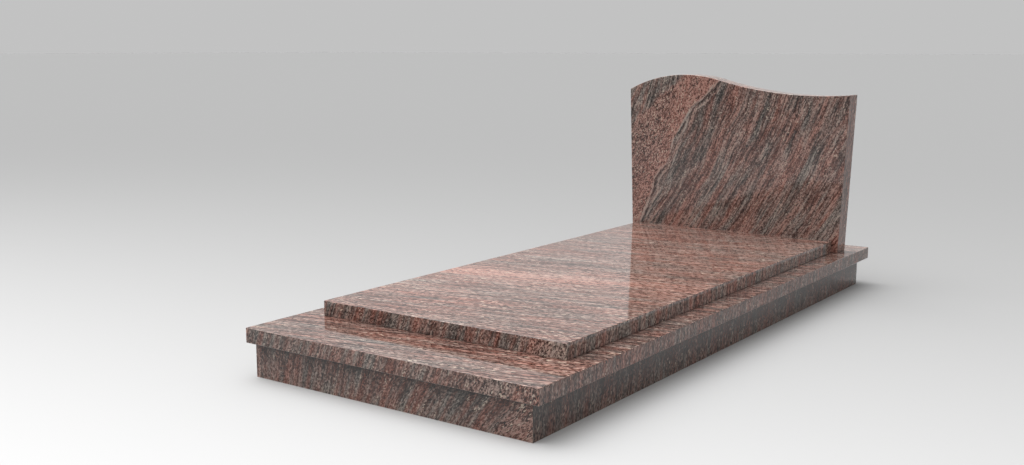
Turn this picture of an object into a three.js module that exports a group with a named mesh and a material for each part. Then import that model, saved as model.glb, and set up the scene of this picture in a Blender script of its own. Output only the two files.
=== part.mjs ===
// Polished granite grave monument with an upright headstone, in millimetres, +Z up.
// A hollow plinth of four mitred kerbs carries an overhanging base slab. On the slab lie a
// ledger slab and, behind its head end, the upright headstone with its flowing wave top.
// The origin is on the ground, under the middle of the base slab. The headstone is at +Y.

import * as THREE from "three";

// Base slab
const slabWidth = 1000;
const slabLength = 2320;
const slabThickness = 44;

// Plinth: four kerbs on the ground, set back under the slab's edges
const kerbHeight = 98;
const kerbThickness = 80;
const kerbSetbackFoot = 13;
const kerbSetbackSide = 26;
const kerbSetbackHead = 50;
const mitreJoint = 0.6;

// Ledger slab: the steps left free around it
const ledgerThickness = 45;
const ledgerMarginSide = 75;
const ledgerMarginFoot = 235;
const ledgerHeadJoint = 0.5;

// Headstone: its place on the slab, and its width at the foot
const headstoneThickness = 82;
const headstoneMarginHead = 126;
const headstoneMarginSide = 52;
const sideLeanDegrees = 2.07;

// Wave top: a crest arc left of the middle that runs into a hollow arc right of it
const hollowHeight = 597;
const hollowOffset = 339;
const crestRise = 73;
const crestOffset = 214;
const crestRadius = 555;

// Small bevel along every polished edge
const arris = 2;

// Number of straight steps in each arc of the wave
const arcSteps = 40;

// Heights and edges that several pieces share
const slabTop = kerbHeight + slabThickness;
const slabFootEdge = -slabLength / 2;
const slabHeadEdge = slabLength / 2;
const headstoneBack = slabHeadEdge - headstoneMarginHead;
const headstoneFront = headstoneBack - headstoneThickness;

// Polished faces of the granite, a little darker on the kerbs, which stand in the slab's shade
function granite(colour) {
  return new THREE.MeshStandardMaterial({ color: colour, roughness: 0.12, metalness: 0 });
}

const headstoneGranite = granite(0x705e58);
const ledgerGranite = granite(0x74605a);
const slabGranite = granite(0x72615b);
const kerbGranite = granite(0x625853);

// Extrudes an outline, with the arris on both end faces kept inside the outline and the thickness
function bevelledExtrusion(outline, thickness) {
  const geometry = new THREE.ExtrudeGeometry(new THREE.Shape(outline), {
    depth: thickness - 2 * arris,
    steps: 1,
    bevelEnabled: true,
    bevelThickness: arris,
    bevelSize: arris,
    bevelOffset: -arris,
    bevelSegments: 1,
  });
  geometry.translate(0, 0, arris);
  return geometry;
}

function namedMesh(name, geometry, material) {
  const mesh = new THREE.Mesh(geometry, material);
  mesh.name = name;
  return mesh;
}

// A rectangle between two corners, its own corners cut off by the arris
function rectangleWithArrises(left, foot, right, head) {
  return [
    new THREE.Vector2(left + arris, foot),
    new THREE.Vector2(right - arris, foot),
    new THREE.Vector2(right, foot + arris),
    new THREE.Vector2(right, head - arris),
    new THREE.Vector2(right - arris, head),
    new THREE.Vector2(left + arris, head),
    new THREE.Vector2(left, head - arris),
    new THREE.Vector2(left, foot + arris),
  ];
}

// A flat slab whose lower face lies at the given height
function slab(name, left, foot, right, head, thickness, lowerFace, material) {
  const outline = rectangleWithArrises(left, foot, right, head);
  const mesh = namedMesh(name, bevelledExtrusion(outline, thickness), material);
  mesh.position.z = lowerFace;
  return mesh;
}

// Base slab, centred on the origin
function baseSlab() {
  const halfWidth = slabWidth / 2;
  return slab(
    "base_slab",
    -halfWidth,
    slabFootEdge,
    halfWidth,
    slabHeadEdge,
    slabThickness,
    kerbHeight,
    slabGranite,
  );
}

// Ledger slab, from its free foot end to the joint at the headstone
function ledgerSlab() {
  const halfWidth = slabWidth / 2 - ledgerMarginSide;
  return slab(
    "ledger_slab",
    -halfWidth,
    slabFootEdge + ledgerMarginFoot,
    halfWidth,
    headstoneFront - ledgerHeadJoint,
    ledgerThickness,
    slabTop,
    ledgerGranite,
  );
}

// Kerbs: each runs between two outer corners of the plinth, with its inner face one kerb
// thickness inside, and its ends cut at 45 degrees and drawn back by half the mitre joint
function kerbs() {
  const right = slabWidth / 2 - kerbSetbackSide;
  const foot = slabFootEdge + kerbSetbackFoot;
  const head = slabHeadEdge - kerbSetbackHead;
  const corners = [
    new THREE.Vector2(-right, foot),
    new THREE.Vector2(right, foot),
    new THREE.Vector2(right, head),
    new THREE.Vector2(-right, head),
  ];
  const names = ["kerb_foot", "kerb_right", "kerb_head", "kerb_left"];
  const drawnBack = mitreJoint / Math.SQRT2;
  return names.map((name, side) => {
    const start = corners[side];
    const end = corners[(side + 1) % corners.length];
    const along = end.clone().sub(start).normalize();
    const inward = new THREE.Vector2(-along.y, along.x);
    const corner = (point, alongBy, inwardBy) =>
      point.clone().addScaledVector(along, alongBy).addScaledVector(inward, inwardBy);
    const outline = [
      corner(start, drawnBack, 0),
      corner(end, -drawnBack, 0),
      corner(end, -drawnBack - kerbThickness, kerbThickness),
      corner(start, drawnBack + kerbThickness, kerbThickness),
    ];
    const geometry = new THREE.ExtrudeGeometry(new THREE.Shape(outline), {
      depth: kerbHeight,
      steps: 1,
      bevelEnabled: false,
    });
    return namedMesh(name, geometry, kerbGranite);
  });
}

// Wave top: the two arcs touch on the line between their centres, which sets the hollow's radius
const waveRun = crestOffset + hollowOffset;
const radiusSum = (waveRun ** 2 + crestRise ** 2) / (2 * crestRise);
const hollowRadius = radiusSum - crestRadius;
const crestHeight = hollowHeight + crestRise;
const arcsMeetAt = -crestOffset + (waveRun * crestRadius) / radiusSum;

// Height of the wave above the headstone's foot, at a distance right of the middle
function waveHeight(x) {
  if (x < arcsMeetAt) {
    return crestHeight - crestRadius + Math.sqrt(crestRadius ** 2 - (x + crestOffset) ** 2);
  }
  return hollowHeight + hollowRadius - Math.sqrt(hollowRadius ** 2 - (x - hollowOffset) ** 2);
}

// Distance from the middle at which a leaning side meets the wave: each pass brings it closer
function shoulder(direction, halfFoot) {
  const lean = Math.tan(THREE.MathUtils.degToRad(sideLeanDegrees));
  const passes = 12;
  let distance = halfFoot;
  for (let pass = 0; pass < passes; pass += 1) {
    distance = halfFoot + lean * waveHeight(direction * distance);
  }
  return direction * distance;
}

// Points along the wave from one distance to another, both ends included
function wavePoints(from, to) {
  const points = [];
  for (let step = 0; step <= arcSteps; step += 1) {
    const x = THREE.MathUtils.lerp(from, to, step / arcSteps);
    points.push(new THREE.Vector2(x, waveHeight(x)));
  }
  return points;
}

// Headstone: the outline seen from the foot end, extruded through the stone and stood upright
function headstone() {
  const halfFoot = slabWidth / 2 - headstoneMarginSide;
  const rightToMeeting = wavePoints(shoulder(1, halfFoot), arcsMeetAt);
  const meetingToLeft = wavePoints(arcsMeetAt, shoulder(-1, halfFoot)).slice(1);
  const outline = [
    new THREE.Vector2(-halfFoot, 0),
    new THREE.Vector2(halfFoot, 0),
    ...rightToMeeting,
    ...meetingToLeft,
  ];
  const geometry = bevelledExtrusion(outline, headstoneThickness);
  const upright = new THREE.Matrix4().set(1, 0, 0, 0, 0, 0, -1, 0, 0, 1, 0, 0, 0, 0, 0, 1);
  geometry.applyMatrix4(upright);
  const mesh = namedMesh("headstone", geometry, headstoneGranite);
  mesh.position.set(0, headstoneBack, slabTop);
  return mesh;
}

const monument = new THREE.Group();
monument.add(...kerbs(), baseSlab(), ledgerSlab(), headstone());

export default monument;
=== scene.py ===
import math
from typing import NamedTuple

import bmesh
import bpy
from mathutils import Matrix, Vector


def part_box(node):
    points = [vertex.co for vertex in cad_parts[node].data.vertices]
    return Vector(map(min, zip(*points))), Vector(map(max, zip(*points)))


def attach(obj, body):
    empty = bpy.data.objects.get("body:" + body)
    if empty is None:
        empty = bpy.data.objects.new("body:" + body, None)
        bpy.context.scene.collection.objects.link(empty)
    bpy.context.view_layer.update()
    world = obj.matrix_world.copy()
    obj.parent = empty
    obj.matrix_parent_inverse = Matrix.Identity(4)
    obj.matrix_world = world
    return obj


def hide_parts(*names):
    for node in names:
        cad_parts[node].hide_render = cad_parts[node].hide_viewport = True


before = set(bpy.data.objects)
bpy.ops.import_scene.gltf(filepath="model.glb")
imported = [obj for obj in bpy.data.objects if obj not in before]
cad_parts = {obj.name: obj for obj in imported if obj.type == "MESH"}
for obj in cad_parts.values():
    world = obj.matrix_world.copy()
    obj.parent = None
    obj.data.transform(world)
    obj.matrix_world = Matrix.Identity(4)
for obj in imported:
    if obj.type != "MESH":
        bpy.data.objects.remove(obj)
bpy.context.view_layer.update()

# Sizes in metres. Every other size of the stones comes from the frame.
ARRIS = 0.002
ARRIS_STEPS = 3
SLAB_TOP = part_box("base_slab")[1][2]

# Edges that turn by more than the first angle get an arris. Faces that turn by less than the
# second one are shaded as one curve.
SHARP = math.radians(20)
CURVED = math.radians(35)

# The stone's faces, each with a material of its own. One that looks up or down by more than
# this share of how far it looks sideways is part of the top or the underside.
TOP, END, SIDE, SAWN = range(4)
LEVEL_SHARE = 0.9

# A kerb's face is its outer side when it looks this nearly straight out. The others are sawn.
STRAIGHT_OUT = 0.9

# How bright the studio makes a polished upright face, and the sheen that lies over it:
# stone colours below are given as they look there, in 0 to 255. The last number is the least
# linear colour.
FACE_LIGHT = 0.80
FACE_SHEEN = 0.02
DARKEST = 0.004

# The same stone in its grey and red layers: dark, middle and light minerals
GREY = [(54, 52, 51), (99, 92, 88), (159, 149, 141)]
RED = [(66, 47, 44), (119, 81, 72), (174, 133, 121)]
PALE_CRYSTAL = (198, 183, 166)
BLACK_CRYSTAL = (42, 40, 41)
SAWN_DARK = (104, 92, 88)
SAWN_LIGHT = (168, 152, 145)

# How much of the stone's colour a pale and a black crystal hide
PALE_COVER = 0.7
BLACK_COVER = 0.85

# The polish: nearly a mirror, a little duller on black crystals and uneven between crystals
POLISHED_ROUGHNESS = 0.04
BLACK_ROUGHNESS = 0.05
UNEVEN_ROUGHNESS = 0.02
POLISHED_RELIEF = 0.02

# The sawn faces: matt, and duller still on light grains. The relief is the saw's marks and this
# much of the grains.
SAWN_MIDDLE_TONE = 0.55
SAWN_STREAK_TONE = 0.8
SAWN_GRAIN_TONE = 0.8
SAWN_ROUGHNESS = 0.6
GRAIN_ROUGHNESS = 0.2
GRAIN_RELIEF = 0.6
SAWN_RELIEF = 0.5

# The depth of relief in metres, and the index of refraction that every surface has
RELIEF_DEPTH = 0.0005
REFRACTION = 1.5

# How many crystals a metre there are across the grain
CRYSTALS_A_METRE = 320.0

# How far the grain bends out of line, in metres, and how much further where it wanders
SLOW_BEND = 0.06
FINE_BEND = 0.011
WANDER_FINE_BEND = 0.017
WANDER_WAVE = 0.05

# How strongly each kind of layer changes the tone, which is 0 in the dark minerals and 1 in the
# light ones, and the redness, which is 0 in grey stone and 1 in red stone
MIDDLE_TONE = 0.5
LENS_TONE = 0.2
STREAK_TONE = 0.7
THREAD_TONE = 2.0
CRYSTAL_TONE = 0.8
MIDDLE_REDNESS = 0.45
LENS_REDNESS = 1.6
STREAK_REDNESS = 1.4
CRYSTAL_REDNESS = 0.3

# Granular stone has no light and dark layers: its tone comes from mottle, specks and crystals.
# Its grey and red layers lose the last number's share.
GRANULAR_MIDDLE = 0.45
GRANULAR_MOTTLE = 0.5
GRANULAR_SPECKS = 1.4
GRANULAR_CRYSTALS = 1.4
GRANULAR_LOSS = 0.6

# A granular part's ragged edge: how far it strays, and how wide its change is, in metres
RAGGED_BY = 0.06
RAGGED_WIDTH = 0.05

# How far each field of noise lies from its face's seed, so that no field repeats another
SLOW_BENDS, FINE_BENDS, HAND_WAVES = 0.3, 1.7, 2.4
LENSES, STREAKS, THREADS, CRYSTALS = 3.1, 4.6, 5.2, 6.9
MOTTLE, RED_LENSES, RED_STREAKS, SAW_MARKS, SPECKS = 8.4, 9.3, 11.8, 12.5, 13.7
RAGGED_EDGE, RIPPLE, SECOND_RAGGED_EDGE, LINE_BREAKS = 21.0, 21.3, 23.0, 27.9

# How far the grain leans for each metre along it or up the stone. The kerb's lean grows to the
# right, and the headstone's grain steepens towards the top and starts higher to the right.
TOP_SLANT = 0.2
END_LEAN = 0.42
SIDE_LEAN = 0.12
KERB_LEAN = 0.45
KERB_LEAN_GROWTH = 0.9
HEADSTONE_LEAN = 0.675
HEADSTONE_STEEPENING = 0.275
HEADSTONE_RISE = 0.35

# How far the upright ends' pattern shifts up for each metre towards the head, so that the foot
# and head ends differ
END_SHIFT = 0.2

# The floor is grey, with a painted pool of light that is palest before the monument's foot.
# How strong the painted light is changes by these powers of e a metre, from this power at the
# monument's middle, and bends over to the palest. It fades to grey again where the square of the
# distance passes the last number.
FLOOR_REACH = 150.0
FLOOR_GREY = (0.33, 0.33, 0.33, 1.0)
FLOOR_PAINTED_LIGHT = (1.0, 1.0, 1.0, 1.0)
FLOOR_ROUGHNESS = 0.9
PALER_TO_THE_RIGHT = 0.067
GREYER_TO_THE_HEAD = 0.543
PALE_POWER_AT_MIDDLE = -1.696
HIGHEST_PALE_POWER = 2.0
PALEST = 0.56
PALE_KNEE = 4
PALE_FADE_SQUARE = 40

# The studio: even light, and a soft glow from overhead whose width falls with its power
EVEN_LIGHT = 0.54
GLOW_LIGHT = 5.7
GLOW_POWER = 8.0
GLOW_FROM = (-0.4, 0.0, 0.92)

# The camera: millimetres for the lens and the sensor, metres for places and distances
LENS = 40.0
SENSOR = 36.0
VIEW_REACH = 400.0
TURNED = math.radians(35.49)
DOWN = math.radians(9.26)
TARGET = Vector((-0.40422, 0.0, 0.26863))
DISTANCE = 4.06535

# A Mix node has sockets of the same names for numbers, vectors and colours. These are the ones
# for colours.
MIX_FIRST, MIX_SECOND, MIX_RESULT = 6, 7, 2


def linear(channel):
    """A screen value from 0 to 255 as linear light."""
    c = channel / 255
    return c / 12.92 if c <= 0.04045 else ((c + 0.055) / 1.055) ** 2.4


def stone(red, green, blue, painted_brightness=1.0):
    """The stone's own colour where it looks like this on a polished upright face, times the painted
    brightness: painted light and shading for a face that is lit more or less than that.
    """
    seen = (linear(red), linear(green), linear(blue))
    return tuple(max(DARKEST, painted_brightness * (c - FACE_SHEEN) / FACE_LIGHT) for c in seen) + (1.0,)


class Socket:
    """An output of a shader node. Arithmetic on it adds Math nodes."""

    def __init__(self, shader, output):
        self.shader = shader
        self.output = output

    def math(self, operation, *values):
        inputs = dict(enumerate(values))
        return self.shader.node("ShaderNodeMath", {"operation": operation}, inputs)

    def __add__(self, other):
        return self.math("ADD", self, other)

    __radd__ = __add__

    def __sub__(self, other):
        return self.math("SUBTRACT", self, other)

    def __rsub__(self, other):
        return self.math("SUBTRACT", other, self)

    def __mul__(self, other):
        return self.math("MULTIPLY", self, other)

    __rmul__ = __mul__

    def __truediv__(self, other):
        return self.math("DIVIDE", self, other)

    def __rtruediv__(self, other):
        return self.math("DIVIDE", other, self)

    def __pow__(self, other):
        return self.math("POWER", self, other)

    def at_least(self, other):
        return self.math("MAXIMUM", self, other)

    def at_most(self, other):
        return self.math("MINIMUM", self, other)

    def clamped(self):
        return self.at_least(0.0).at_most(1.0)

    def size(self):
        return self.math("ABSOLUTE", self)

    def exponential(self):
        return self.math("EXPONENT", self)

    def spread(self, reach, middle=0.5):
        """A number from 0 to 1 moved so that its middle is 0, and stretched to the reach."""
        return (self - middle) * reach

    def step(self, low, high):
        """0 below low, 1 above high and a smooth rise between them, or a fall where high is lower."""
        inputs = {"Value": self, "From Min": low, "From Max": high}
        return self.shader.node("ShaderNodeMapRange", {"interpolation_type": "SMOOTHSTEP"}, inputs)

    def beside(self, name):
        """Another output of the same node."""
        return Socket(self.shader, self.output.node.outputs[name])

    def mix(self, first, second):
        """The first colour where this is 0 and the second where it is 1."""
        inputs = {"Factor": self, MIX_FIRST: first, MIX_SECOND: second}
        return self.shader.node("ShaderNodeMix", {"data_type": "RGBA"}, inputs, MIX_RESULT)


class Shader:
    """A node tree that nodes are added to."""

    def __init__(self, tree):
        self.tree = tree
        tree.nodes.clear()

    def node(self, kind, settings=None, inputs=None, output=0):
        """Adds a node with its settings, then its inputs' values or links, and gives one output.
        A node that ends the tree has none."""
        made = self.tree.nodes.new(kind)
        for name, value in (settings or {}).items():
            if name == "stops":
                self.fill_ramp(made.color_ramp, value)
            else:
                setattr(made, name, value)
        for name, value in (inputs or {}).items():
            if isinstance(value, Socket):
                self.tree.links.new(value.output, made.inputs[name])
            else:
                made.inputs[name].default_value = value
        return Socket(self, made.outputs[output]) if made.outputs else None

    @staticmethod
    def fill_ramp(ramp, stops):
        while len(ramp.elements) < len(stops):
            ramp.elements.new(0.5)
        for element, (place, value) in zip(ramp.elements, stops):
            element.position = place
            element.color = (value, value, value, 1.0)

    def curve(self, value, points):
        """A number that goes in straight steps through the points, each a value and its result."""
        low, high = points[0][0], points[-1][0]
        least = min(result for _, result in points)
        reach = max(result for _, result in points) - least
        stops = [((at - low) / (high - low), (result - least) / reach) for at, result in points]
        inputs = {"Fac": (value - low) / (high - low)}
        return self.node("ShaderNodeValToRGB", {"stops": stops}, inputs) * reach + least

    def place(self):
        """The point's own coordinates, x, y and z in metres."""
        point = self.node("ShaderNodeTexCoord", output="Object")
        return [self.node("ShaderNodeSeparateXYZ", inputs={0: point}, output=n) for n in range(3)]

    def point(self, x, y, z):
        return self.node("ShaderNodeCombineXYZ", inputs={0: x, 1: y, 2: z})

    def noise(self, across, along, seed, waves, stretch=1.0, detail=2.0, roughness=0.5):
        """Noise from about 0 to 1, with so many waves a metre across the grain, and waves that
        are longer by the stretch along it."""
        point = self.point(across * waves, along * (waves / stretch), seed)
        inputs = {"Vector": point, "Scale": 1.0, "Detail": detail, "Roughness": roughness}
        return self.node("ShaderNodeTexNoise", {}, inputs)

    def crystals(self, across, along, seed, stretch):
        """For each crystal two random numbers from 0 to 1, and how far across and along the grain
        its middle lies."""
        scale = CRYSTALS_A_METRE
        point = self.point(across * scale, along * (scale / stretch), seed)
        cells = self.node("ShaderNodeTexVoronoi", {}, {"Vector": point, "Scale": 1.0}, "Color")
        middle = cells.beside("Position")
        first, second = (
            self.node("ShaderNodeSeparateColor", inputs={0: cells}, output=n) for n in range(2)
        )
        middle_across, middle_along = (
            self.node("ShaderNodeSeparateXYZ", inputs={0: middle}, output=n) for n in range(2)
        )
        return first, second, middle_across * (1 / scale), middle_along * (stretch / scale)

    def relief(self, height, strength):
        """A bumpy normal. A height of 1 is the depth of relief."""
        inputs = {"Strength": strength, "Distance": RELIEF_DEPTH, "Height": height}
        return self.node("ShaderNodeBump", {}, inputs)

    def surface(self, inputs):
        """Ends the tree in a shader with these inputs."""
        finish = self.node("ShaderNodeBsdfPrincipled", {}, {"IOR": REFRACTION, **inputs})
        self.node("ShaderNodeOutputMaterial", {}, {"Surface": finish})


def new_shader(name):
    material = bpy.data.materials.new(name)
    material.use_nodes = True
    return material, Shader(material.node_tree)


def grain(shader, across, along, seed, wander):
    """The distance across the grain, bent out of line slowly and finely. Where the grain wanders
    its fine bends are wider, and it also bends in waves of about a hand's width."""
    slow = shader.noise(across, along, seed + SLOW_BENDS, waves=3.0, stretch=2.0)
    fine = shader.noise(across, along, seed + FINE_BENDS, waves=16.0, stretch=3.0)
    bent = across + slow.spread(SLOW_BEND) + fine.spread(FINE_BEND + WANDER_FINE_BEND * wander)
    if wander > 0:
        bends = shader.noise(across, along, seed + HAND_WAVES, waves=7.0, stretch=1.6, detail=1.0)
        bent = bent + bends.spread(WANDER_WAVE * wander)
    return bent


class Cut(NamedTuple):
    """How the grain shows in a face: how strongly light and dark layers differ, how strongly grey
    and red ones do, how long the crystals are for their width, how long the streaks are, and how
    much the grain wanders."""

    streaky: float
    patchy: float
    crystal_length: float
    streak_length: float = 1.0
    wander: float = 0.0


def three_colours(tone, colours, painted_brightness):
    """From the dark colour at 0 through the middle one at a half to the light one at 1, each with
    the face's painted light and shading.
    """
    dark, middle, light = (stone(*colour, painted_brightness) for colour in colours)
    lower = (tone * 2).clamped()
    upper = (tone * 2 - 1).clamped()
    return upper.mix(lower.mix(dark, middle), light)


def polished_granite(name, layout, cut, veins, *, seed, painted_brightness, redder=0.0):
    """A polished face of layers, streaks, threads and crystals. The layout gives the distances
    across and along the grain. The veins, where there are any, add their own tone and redness,
    on some faces painted light and shading too, and say where the stone is granular. Redder is
    added to the redness of the whole face. The painted brightness scales all the face's colours:
    painted light and shading for how brightly this face is lit."""
    material, shader = new_shader(name)
    across, along = layout(*shader.place())
    bent = grain(shader, across, along, seed, cut.wander)
    crystal, mineral, at, up = shader.crystals(bent, along, seed + CRYSTALS, cut.crystal_length)

    lenses = shader.noise(bent, along, seed + LENSES, waves=20.0, stretch=5.0, detail=1.0)
    streaks = shader.noise(
        at, up, seed + STREAKS, waves=52.0, stretch=9.0 * cut.streak_length, roughness=0.6
    )
    threads = shader.noise(
        bent, along, seed + THREADS,
        waves=150.0, stretch=30.0 * cut.streak_length, detail=1.0, roughness=0.6,
    )
    mottle = shader.noise(across, along, seed + MOTTLE, waves=60.0, stretch=1.4, roughness=0.6)
    layers = lenses.spread(LENS_TONE) + streaks.spread(STREAK_TONE) + threads.spread(THREAD_TONE)
    tone = layers * cut.streaky + crystal.spread(CRYSTAL_TONE)

    red_lenses = shader.noise(
        bent, along, seed + RED_LENSES, waves=24.0, stretch=6.0, detail=1.0, roughness=0.55
    )
    red_streaks = shader.noise(at, up, seed + RED_STREAKS, waves=62.0, stretch=8.0, detail=1.0)
    red_layers = red_lenses.spread(LENS_REDNESS) + red_streaks.spread(STREAK_REDNESS)
    redness = red_layers * cut.patchy + mineral.spread(CRYSTAL_REDNESS)

    granular = 0.0
    # Veins add the stone's own tone and redness, and on some faces painted light and shading
    if veins is not None:
        vein_and_painted_tone, vein_redness, granular = veins(shader, across, along, bent, seed)
        specks = shader.noise(
            across, along, seed + SPECKS, waves=105.0, stretch=1.3, roughness=0.6
        )
        grainy = (
            mottle.spread(GRANULAR_MOTTLE, GRANULAR_MIDDLE)
            + specks.spread(GRANULAR_SPECKS, GRANULAR_MIDDLE)
            + crystal.spread(GRANULAR_CRYSTALS)
        )
        tone = tone + (grainy - tone) * granular + vein_and_painted_tone
        redness = redness * (1 - GRANULAR_LOSS * granular) + vein_redness
    tone = tone + MIDDLE_TONE
    redness = (redness + (MIDDLE_REDNESS + redder)).clamped()
    colour = redness.mix(three_colours(tone, GREY, painted_brightness), three_colours(tone, RED, painted_brightness))

    # One crystal in 20 is pale where its streak is light, and one in 12 is black where the mottle
    # is dark. Granular stone has more of both.
    pale = (crystal + 0.03 * granular).step(0.94, 0.96) * (streaks + 0.1 * granular).step(0.5, 0.62)
    colour = (pale * PALE_COVER).mix(colour, stone(*PALE_CRYSTAL, painted_brightness))
    black = (mineral - 0.12 * granular).step(0.09, 0.07) * mottle.step(0.52, 0.42)
    colour = (black * BLACK_COVER).mix(colour, stone(*BLACK_CRYSTAL, painted_brightness))

    shader.surface({
        "Base Color": colour,
        "Roughness": POLISHED_ROUGHNESS + black * BLACK_ROUGHNESS + crystal.spread(UNEVEN_ROUGHNESS),
        "Normal": shader.relief(crystal, POLISHED_RELIEF),
    })
    return material


def sawn_granite(name, seed):
    """An unpolished inner or under face: the same grain, paler and matt, with the saw's marks."""
    material, shader = new_shader(name)
    x, y, z = shader.place()
    across, along = x + z, y - z
    bent = grain(shader, across, along, seed, 0.0)
    streaks = shader.noise(
        bent, along, seed + STREAKS, waves=30.0, stretch=6.0, detail=3.0, roughness=0.6
    )
    grains = shader.noise(across, along, seed + CRYSTALS, waves=190.0, roughness=0.6)
    marks = shader.noise(along, across, seed + SAW_MARKS, waves=240.0, stretch=60.0, detail=1.0)
    tone = streaks.spread(SAWN_STREAK_TONE) + grains.spread(SAWN_GRAIN_TONE) + SAWN_MIDDLE_TONE
    shader.surface({
        "Base Color": tone.mix(stone(*SAWN_DARK), stone(*SAWN_LIGHT)),
        "Roughness": SAWN_ROUGHNESS + grains * GRAIN_ROUGHNESS,
        "Normal": shader.relief(marks + grains * GRAIN_RELIEF, SAWN_RELIEF),
    })
    return material


def across_slab(x, y, z):
    """Tops: the grain runs from side to side, a little nearer the head at the right."""
    return y - x * TOP_SLANT, x


def upright_end(x, y, z):
    """Upright faces at the foot and head: the grain stands up, leaning to the right."""
    return x - z * END_LEAN, z + y * END_SHIFT


def kerb_end(x, y, z):
    """The kerbs' outer faces at the foot and head: the grain stands up at the left and leans at
    the right."""
    return x - z * (x * KERB_LEAN_GROWTH + KERB_LEAN), z


def upright_side(x, y, z):
    """Upright faces along the sides: fine grain that stands nearly straight."""
    return y - z * SIDE_LEAN, z


def headstone_front(x, y, z):
    """The headstone's face: the grain rises to the right and steepens towards the top."""
    height = z - SLAB_TOP
    across = x - height * HEADSTONE_LEAN + height * height * HEADSTONE_STEEPENING
    return across, height + x * HEADSTONE_RISE


# The veins below are drawn. In their lists each pair is a place across the grain, along
# it or up the stone, in metres, and the tone, redness or edge there. Numbers that multiply a
# mask are the tone or the redness that it adds.


def headstone_parts(shader, across, along, seed):
    """The headstone's left part: how far a point lies to the right of its wandering edge, where
    the grey corner above it is, and where the stone is granular."""
    edge_line = [
        (-0.10, -0.445), (-0.01, -0.467), (0.07, -0.477), (0.12, -0.498), (0.16, -0.490),
        (0.20, -0.471), (0.27, -0.484), (0.33, -0.500), (0.38, -0.486), (0.47, -0.470),
        (0.55, -0.425), (0.62, -0.395), (0.80, -0.36),
    ]
    edge_ripple = 0.022
    corner_slope = 1.73
    corner_start = 1.54
    corner_ripple = 0.1
    ripple = shader.noise(across, along, seed + RIPPLE, waves=40.0, stretch=2.0)
    beyond = across - shader.curve(along, edge_line) + ripple.spread(edge_ripple)
    above = along - across * corner_slope - corner_start + ripple.spread(corner_ripple)
    corner = above.step(-0.02, 0.03)
    granular = beyond.step(0.004, -0.008) * (1 - corner)
    return beyond, corner, granular


def edge_lines(shader, across, along, beyond, seed):
    """The tone of the broken lines that follow the granular part's edge on its right."""
    # A pale, a dark and a second pale line: how far beyond the edge, how far to either side it
    # is full and where it ends, and its tone
    lines = [(0.003, 0.002, 0.007, 0.7), (0.013, 0.002, 0.008, -0.35), (0.028, 0.001, 0.007, 0.5)]
    breaks = shader.noise(across, along, seed + LINE_BREAKS, waves=22.0, stretch=3.0, detail=1.0)
    broken = breaks.step(0.36, 0.5) * 0.65 + 0.35
    tones = ((beyond - at).size().step(end, full) * tone for at, full, end, tone in lines)
    return sum(tones) * broken


def headstone_veins_and_painted_light(shader, across, along, bent, seed):
    """The headstone's face from left to right, and its back: a granular salmon part behind a
    wandering edge, a dark grey band with pale lines along that edge, then red, pale and grey
    veins and a red foot corner. All of it is lighter near the foot, which is painted light, and
    the top of the granular part is lighter too."""
    redness = [
        (-0.50, 0.0), (-0.47, -0.1), (-0.36, -0.2), (-0.33, 0.05), (-0.29, 0.4), (-0.25, 0.0),
        (-0.15, -0.2), (-0.10, 0.2), (-0.06, 0.0), (0.02, 0.1), (0.08, 0.1), (0.13, -0.25),
        (0.17, 0.1), (0.20, -0.1), (0.24, 0.15), (0.29, 0.1), (0.33, -0.2), (0.38, -0.1),
        (0.405, 0.7), (0.45, 0.7),
    ]
    granular_redness = [(-0.70, 0.25), (-0.58, 0.35), (-0.50, 0.55), (-0.35, 0.6)]
    tone = [
        (-0.70, -0.06), (-0.60, -0.12), (-0.55, -0.04), (-0.49, 0.1), (-0.46, 0.04), (-0.39, -0.05),
        (-0.33, -0.06), (-0.25, 0.08), (-0.22, 0.1), (-0.18, 0.03), (-0.13, -0.06), (-0.08, -0.02),
        (0.05, 0.1), (0.14, 0.0), (0.17, 0.02), (0.23, 0.02), (0.35, 0.08),
    ]
    # Painted light: the face is lighter near its foot
    painted_foot_light = [(0.0, 0.18), (0.1, 0.14), (0.18, 0.07), (0.3, 0.0)]
    beyond, corner, granular = headstone_parts(shader, across, along, seed)
    # This grows with the height alone
    raised = along - across * HEADSTONE_RISE
    granular_light = 0.04 + 0.14 * raised.step(0.46, 0.6)
    light = shader.curve(raised, painted_foot_light) + granular * granular_light + corner * 0.12
    lines = edge_lines(shader, across, along, beyond, seed)
    salmon = shader.curve(bent, granular_redness)
    red = shader.curve(bent, redness)
    red = red + (salmon - red) * granular - corner * 0.2
    return shader.curve(bent, tone) + light + lines, red, granular


def granular_end(shader, across, along, seed, start):
    """1 in the granular part at the right end of a face, from a ragged edge at the start."""
    ragged = shader.noise(across, along, seed, waves=40.0, stretch=2.0)
    return (across + ragged.spread(RAGGED_BY)).step(start, start + RAGGED_WIDTH)


def kerb_end_veins_and_painted_shading(shader, across, along, bent, seed):
    """The foot and head kerbs' outer faces: lighter near the floor, which is painted light, dark
    close under the slab, which is painted shading under its overhang, and granular and red at
    the right end."""
    # Painted light near the floor, then painted shading up to the slab's overhang
    light = [
        (0.0, 0.26), (0.019, 0.16), (0.031, 0.08), (0.05, 0.0), (0.066, -0.05), (0.082, -0.15),
        (0.09, -0.3), (0.094, -0.7), (0.098, -0.9),
    ]
    patch = granular_end(shader, across, along, seed + RAGGED_EDGE, 0.33)
    return shader.curve(along, light) + patch * 0.05, patch * 0.3, patch


def kerb_side_painted_shading(shader, across, along, bent, seed):
    """The side kerbs' outer faces: painted light near the floor and painted shading up to the slab
    that overhangs them.
    """
    # Painted light near the floor, then painted shading up to the slab's overhang
    light = [(0.0, 0.2), (0.03, 0.0), (0.056, -0.18), (0.081, -0.3), (0.098, -0.4)]
    return shader.curve(along, light), 0.0, 0.0


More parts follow.
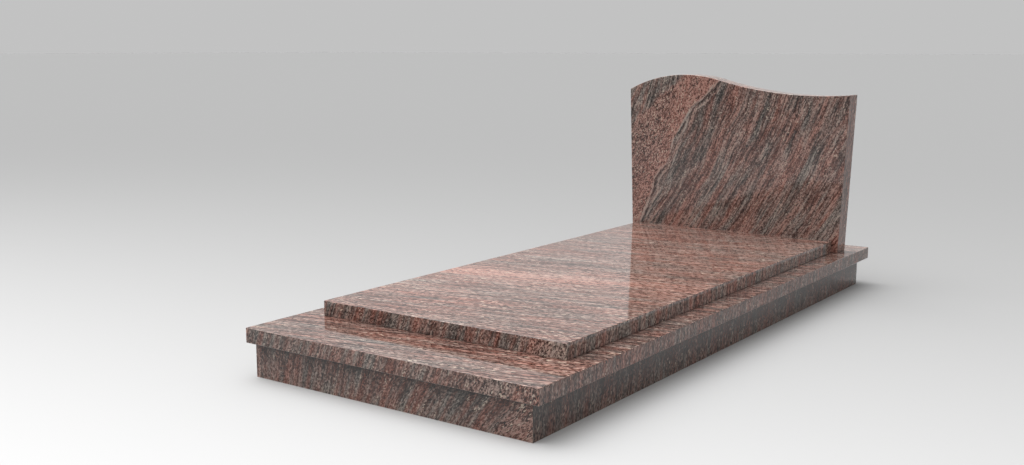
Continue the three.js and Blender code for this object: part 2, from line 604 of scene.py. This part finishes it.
def slab_end_veins(shader, across, along, bent, seed):
    """The base slab's foot and head ends: granular at the right, and red in the last of it."""
    patch = granular_end(shader, across, along, seed + RAGGED_EDGE, 0.22)
    red = granular_end(shader, across, along, seed + SECOND_RAGGED_EDGE, 0.34)
    return patch * 0.06 - red * 0.1, red * 0.5 - patch * 0.1, patch * 0.9


def ledger_end_veins(shader, across, along, bent, seed):
    """The ledger slab's foot and head ends: granular at the right, and pale in the last of it."""
    patch = granular_end(shader, across, along, seed + RAGGED_EDGE, 0.22)
    pale = granular_end(shader, across, along, seed + SECOND_RAGGED_EDGE, 0.275)
    return pale * 0.14, patch * 0.15 - pale * 0.5, patch


def slab_veins_and_painted_shading(shader, across, along, bent, seed):
    """The base slab's top: a rusty zone in front of the ledger slab, darkened there with painted
    shading, salmon at its right end, a darker strip at the right of the ledger slab, which is
    painted shading, and a lighter one behind the headstone, which is painted light."""
    y = across + along * TOP_SLANT
    # Rust in front of the ledger slab, darkened with painted shading at its foot
    before_ledger = y.step(-1.05, -1.0) * y.step(-0.86, -0.92)
    right_end = along.step(0.15, 0.42) * before_ledger
    # Painted light behind the headstone, and painted shading beside the ledger slab
    behind = y.step(1.0, 1.05)
    painted_shading_strip = along.step(0.38, 0.42) * y.step(-0.94, -0.86) * (1 - behind)
    tone = right_end * 0.05 - before_ledger * 0.07 - painted_shading_strip * 0.12 + behind * 0.25
    return tone, before_ledger * 0.08 + right_end * 0.2, right_end * 0.5


def ledger_veins(shader, across, along, bent, seed):
    """The ledger slab's top from its foot to its head: one salmon band before the middle. All
    of it is calmer at the right."""
    redness = [
        (-0.95, 0.02), (-0.72, 0.05), (-0.65, 0.18), (-0.56, 0.0), (-0.45, 0.05), (-0.39, 0.15),
        (-0.33, 0.15), (-0.26, 0.42), (-0.22, 0.42), (-0.15, 0.1), (0.0, 0.05), (0.1, -0.08),
        (0.2, 0.12), (0.4, 0.0), (0.55, -0.05), (0.62, 0.1), (0.95, 0.1),
    ]
    tone = [
        (-0.95, -0.02), (-0.75, -0.04), (-0.58, 0.03), (-0.40, 0.04), (-0.33, 0.1), (-0.26, 0.34),
        (-0.22, 0.34), (-0.16, 0.04), (-0.05, 0.0), (0.05, 0.0), (0.1, 0.07), (0.2, 0.0), (0.4, 0.04),
        (0.55, -0.02), (0.61, 0.1), (0.66, 0.0), (0.95, 0.0),
    ]
    calmer = 1 - 0.6 * along.step(0.0, 0.3)
    band = bent.step(-0.3, -0.26) * bent.step(-0.17, -0.21) * calmer
    return shader.curve(bent, tone) * calmer, shader.curve(bent, redness) * calmer, band * 0.45


def face_of(normal):
    """Which of the stone's faces a direction belongs to. Undersides are sawn."""
    x, y = abs(normal.x), abs(normal.y)
    if abs(normal.z) > max(x, y) * LEVEL_SHARE:
        return TOP if normal.z > 0 else SAWN
    return END if y >= x else SIDE


def finish_stone(made, arris_faces, node, materials, choose=face_of):
    """Turns a bmesh into the node's stone: smooth only inside its arrises and along its curved
    faces."""
    curved = set()
    for edge in made.edges:
        if len(edge.link_faces) != 2:
            continue
        first, second = edge.link_faces
        same_kind = (first in arris_faces) == (second in arris_faces)
        if same_kind and first.normal.angle(second.normal) < CURVED:
            curved.add(edge)
    for face in made.faces:
        face.smooth = True
        face.material_index = choose(face.normal)
    for edge in made.edges:
        edge.smooth = edge in curved
    name = node + "_stone"
    mesh = bpy.data.meshes.new(name)
    made.to_mesh(mesh)
    made.free()
    for material in materials:
        mesh.materials.append(material)
    stone_piece = bpy.data.objects.new(name, mesh)
    bpy.context.collection.objects.link(stone_piece)
    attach(stone_piece, "root")
    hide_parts(node)


def round_arrises(made, edges):
    """Rounds the given edges and returns the faces made there."""
    rounded = bmesh.ops.bevel(
        made,
        geom=edges,
        offset=ARRIS,
        offset_type="OFFSET",
        segments=ARRIS_STEPS,
        profile=0.5,
        affect="EDGES",
        clamp_overlap=True,
    )
    made.normal_update()
    return set(rounded["faces"])


def prism(outline, start, end):
    """A closed prism: the outline at the start and at the end, with sides between them."""
    made = bmesh.new()
    first = [made.verts.new(start + point) for point in outline]
    last = [made.verts.new(end + point) for point in outline]
    made.faces.new(first)
    made.faces.new(list(reversed(last)))
    for n in range(len(outline)):
        after = (n + 1) % len(outline)
        made.faces.new((first[after], first[n], last[n], last[after]))
    bmesh.ops.recalc_face_normals(made, faces=made.faces)
    made.normal_update()
    return made


def slab(node, materials):
    """A flat slab that fills its node's box, with every edge rounded."""
    low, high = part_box(node)
    outline = [
        Vector((low[0], low[1], 0)),
        Vector((high[0], low[1], 0)),
        Vector((high[0], high[1], 0)),
        Vector((low[0], high[1], 0)),
    ]
    made = prism(outline, Vector((0, 0, low[2])), Vector((0, 0, high[2])))
    arrises = round_arrises(made, list(made.edges))
    finish_stone(made, arrises, node, materials)


def kerb(node, inward, materials):
    """A kerb of the plinth: its outer side is the long one, and its ends run in at 45 degrees."""
    low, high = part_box(node)
    centre = (Vector(low) + Vector(high)) / 2
    reach = (Vector(high) - Vector(low)) / 2
    along = Vector((abs(inward.y), abs(inward.x), 0))
    half = reach.dot(along)
    half_thick = abs(reach.dot(inward))
    inner_half = half - 2 * half_thick
    middle = Vector((centre.x, centre.y, 0))
    outline = [
        middle - inward * half_thick - along * half,
        middle - inward * half_thick + along * half,
        middle + inward * half_thick + along * inner_half,
        middle + inward * half_thick - along * inner_half,
    ]
    made = prism(outline, Vector((0, 0, low[2])), Vector((0, 0, high[2])))

    def choose(normal):
        return face_of(normal) if -normal.dot(inward) > STRAIGHT_OUT else SAWN

    finish_stone(made, set(), node, materials, choose)


def headstone(node, materials):
    """The upright stone, with rounded arrises. The node's front arris starts from its full
    outline, an arris behind its front face, so the outline is read there."""
    low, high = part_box(node)
    middle_x, middle_z = (low[0] + high[0]) / 2, (low[2] + high[2]) / 2
    edge_depth = low[1] + ARRIS
    rim = {
        (round(v.co.x, 6), round(v.co.z, 6))
        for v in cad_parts[node].data.vertices
        if abs(v.co.y - edge_depth) < ARRIS / 4
    }
    ordered = sorted(rim, key=lambda p: math.atan2(p[1] - middle_z, p[0] - middle_x))
    outline = [Vector((x, 0, z)) for x, z in ordered]
    made = prism(outline, Vector((0, low[1], 0)), Vector((0, high[1], 0)))
    sharp = [edge for edge in made.edges if edge.calc_face_angle(0.0) > SHARP]
    arrises = round_arrises(made, sharp)
    finish_stone(made, arrises, node, materials)


def studio_floor():
    """A wide grey floor with a painted pool of light, palest before the foot of the monument and
    greyer towards its head.
    """
    mesh = bpy.data.meshes.new("floor")
    reach = FLOOR_REACH
    corners = [(-reach, -reach, 0), (reach, -reach, 0), (reach, reach, 0), (-reach, reach, 0)]
    mesh.from_pydata(corners, [], [(0, 1, 2, 3)])
    material, shader = new_shader("studio_floor")
    x, y, z = shader.place()
    # The painted pool of light on the floor: its strength by place
    power = x * PALER_TO_THE_RIGHT - y * GREYER_TO_THE_HEAD + PALE_POWER_AT_MIDDLE
    rise = power.at_most(HIGHEST_PALE_POWER).exponential()
    painted_pool = rise / ((rise / PALEST) ** PALE_KNEE + 1) ** (1 / PALE_KNEE)
    near = 1 / (((x * x + y * y) / PALE_FADE_SQUARE) ** 2 + 1)
    shader.surface({
        "Base Color": (painted_pool * near).mix(FLOOR_GREY, FLOOR_PAINTED_LIGHT),
        "Roughness": FLOOR_ROUGHNESS,
        "Specular IOR Level": 0.0,
    })
    mesh.materials.append(material)
    floor = bpy.data.objects.new("floor", mesh)
    bpy.context.collection.objects.link(floor)


def studio_light():
    """Even light from all round, with a broad soft glow overhead, towards the left."""
    world = bpy.data.worlds.new("studio")
    world.use_nodes = True
    bpy.context.scene.world = world
    shader = Shader(world.node_tree)
    direction = shader.node("ShaderNodeTexCoord", output="Generated")
    inputs = {0: direction, 1: Vector(GLOW_FROM).normalized()}
    facing = shader.node("ShaderNodeVectorMath", {"operation": "DOT_PRODUCT"}, inputs, "Value")
    glow = facing.at_least(0.0) ** GLOW_POWER
    strength = EVEN_LIGHT + glow * GLOW_LIGHT
    background = shader.node("ShaderNodeBackground", {}, {"Color": (1, 1, 1, 1), "Strength": strength})
    shader.node("ShaderNodeOutputWorld", {}, {"Surface": background})


def camera():
    """The photograph's view, from before the monument's foot and to the right of it."""
    data = bpy.data.cameras.new("camera")
    data.lens = LENS
    data.sensor_width = SENSOR
    data.clip_end = VIEW_REACH
    view = bpy.data.objects.new("camera", data)
    bpy.context.collection.objects.link(view)
    ahead = Vector(
        (-math.sin(TURNED) * math.cos(DOWN), math.cos(TURNED) * math.cos(DOWN), -math.sin(DOWN))
    )
    view.location = TARGET - ahead * DISTANCE
    view.rotation_euler = (math.radians(90) - DOWN, 0.0, TURNED)
    bpy.context.scene.camera = view


bpy.context.scene.view_settings.view_transform = "Standard"
camera()
studio_floor()
studio_light()

# How the grain shows in each kind of face
TOP_CUT = Cut(streaky=0.72, patchy=0.7, crystal_length=3.4, streak_length=1.5)
END_CUT = Cut(streaky=0.55, patchy=1.5, crystal_length=1.6)
SIDE_CUT = Cut(streaky=0.5, patchy=1.0, crystal_length=2.4)
LEDGER_SIDE_CUT = Cut(streaky=0.6, patchy=1.4, crystal_length=2.0)
HEADSTONE_SIDE_CUT = Cut(streaky=0.5, patchy=0.5, crystal_length=4.0)
HEADSTONE_FACE_CUT = Cut(
    streaky=0.88, patchy=1.0, crystal_length=2.0, streak_length=0.6, wander=0.6
)

# Each stone's four faces: top, end, side and sawn. Each face's painted brightness is painted
# light and shading: faces of one stone made lighter or darker for how the light falls on them.
slab_faces = [
    polished_granite("slab_top", across_slab, TOP_CUT, slab_veins_and_painted_shading, seed=30.0, painted_brightness=1.05),
    polished_granite("slab_end", upright_end, END_CUT, slab_end_veins, seed=30.0, painted_brightness=0.7),
    polished_granite(
        "slab_side", upright_side, SIDE_CUT, None, seed=50.0, painted_brightness=0.66, redder=0.14
    ),
    sawn_granite("slab_sawn", seed=70.0),
]
ledger_faces = [
    polished_granite("ledger_top", across_slab, TOP_CUT, ledger_veins, seed=130.0, painted_brightness=1.2),
    polished_granite("ledger_end", upright_end, END_CUT, ledger_end_veins, seed=130.0, painted_brightness=1.06),
    polished_granite("ledger_side", upright_side, LEDGER_SIDE_CUT, None, seed=150.0, painted_brightness=0.98),
    sawn_granite("ledger_sawn", seed=170.0),
]
kerb_sawn = sawn_granite("kerb_sawn", seed=270.0)
kerb_faces = [
    kerb_sawn,
    polished_granite("kerb_end", kerb_end, END_CUT, kerb_end_veins_and_painted_shading, seed=230.0, painted_brightness=0.64),
    polished_granite("kerb_side", upright_side, SIDE_CUT, kerb_side_painted_shading, seed=250.0, painted_brightness=0.52),
    kerb_sawn,
]
headstone_faces = [
    polished_granite("headstone_top", across_slab, TOP_CUT, None, seed=310.0, painted_brightness=1.6),
    polished_granite(
        "headstone_face", headstone_front, HEADSTONE_FACE_CUT, headstone_veins_and_painted_light,
        seed=330.0, painted_brightness=0.85,
    ),
    polished_granite(
        "headstone_side", upright_side, HEADSTONE_SIDE_CUT, None,
        seed=350.0, painted_brightness=0.74, redder=0.3,
    ),
    sawn_granite("headstone_sawn", seed=370.0),
]

slab("base_slab", slab_faces)
slab("ledger_slab", ledger_faces)
inward = {
    "kerb_foot": Vector((0, 1, 0)),
    "kerb_head": Vector((0, -1, 0)),
    "kerb_left": Vector((1, 0, 0)),
    "kerb_right": Vector((-1, 0, 0)),
}
for kerb_node, direction in inward.items():
    kerb(kerb_node, direction, kerb_faces)
headstone("headstone", headstone_faces)
